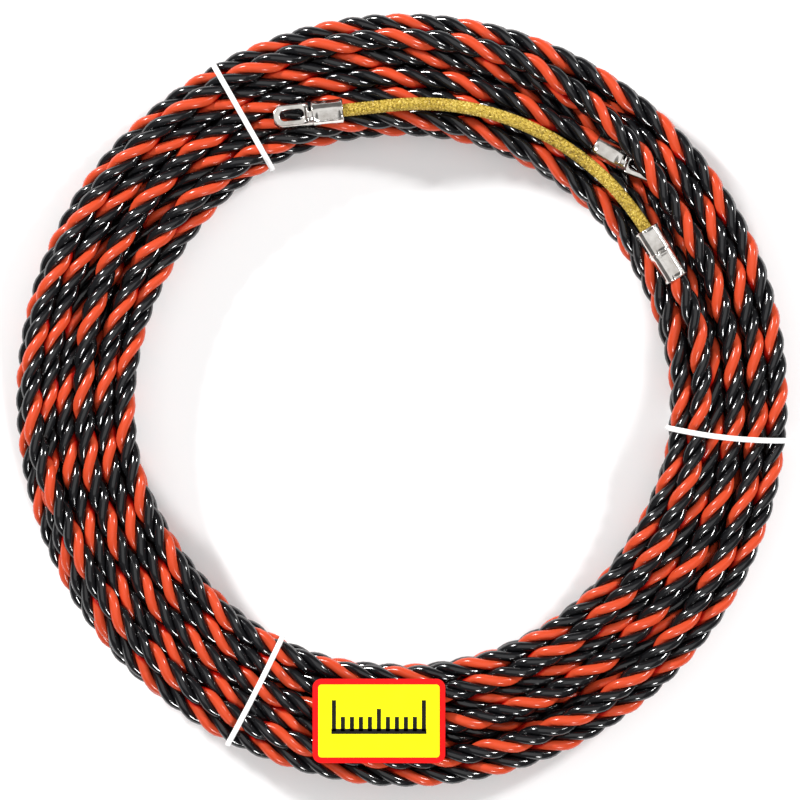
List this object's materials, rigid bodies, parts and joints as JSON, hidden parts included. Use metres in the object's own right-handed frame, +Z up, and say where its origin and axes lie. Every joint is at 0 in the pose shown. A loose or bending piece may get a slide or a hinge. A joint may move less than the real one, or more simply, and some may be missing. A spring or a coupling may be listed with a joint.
{
  "type": "fish tape",
  "caption": "Three-strand twisted draw cord wound into a flat ring with wire ties, a braided flexible leader and a crimped eyelet head on each end.",
  "frame": {"origin": "on the axis of the ring, on the surface it rests on", "axes": "+Z up along the ring's axis, +Y towards the stretch that carries the leader, +X to the right seen from above"},
  "size_m": [0.2255, 0.2258, 0.0235],
  "materials": {
    "cord": "extruded polyester rods, one orange-red and two black, glossy",
    "braid": "fine yellow braid, satin",
    "rope": "bright steel wire rope",
    "nickel": "nickel-plated brass, satin with crimp marks",
    "tie": "white plastic-coated wire",
    "label": "coated card, yellow with a red border"
  },
  "bodies": {
    "coil": {"tape_coil": "cord", "tape_lead_end": "cord", "tape_tail_end": "cord", "leader_core": "rope", "leader_braid": "braid", "lead_eyelet_head": "nickel", "coupling_ferrule": "nickel", "tail_eyelet_head": "nickel", "length_label": "label"},
    "upper_tie": {"tie_upper": "tie"},
    "side_tie": {"tie_side": "tie"},
    "lower_tie": {"tie_lower": "tie"}
  },
  "joints": [
    {"name": "tie_upper_slide", "type": "hinge", "parent": "coil", "child": "upper_tie", "pos_m": [0, 0, 0.01], "axis": [0, 0, 1], "range_deg": [-3, 8]},
    {"name": "tie_side_slide", "type": "hinge", "parent": "coil", "child": "side_tie", "pos_m": [0, 0, 0.01], "axis": [0, 0, 1], "range_deg": [-8, 8]},
    {"name": "tie_lower_slide", "type": "hinge", "parent": "coil", "child": "lower_tie", "pos_m": [0, 0, 0.01], "axis": [0, 0, 1], "range_deg": [-8, 5]}
  ]
}
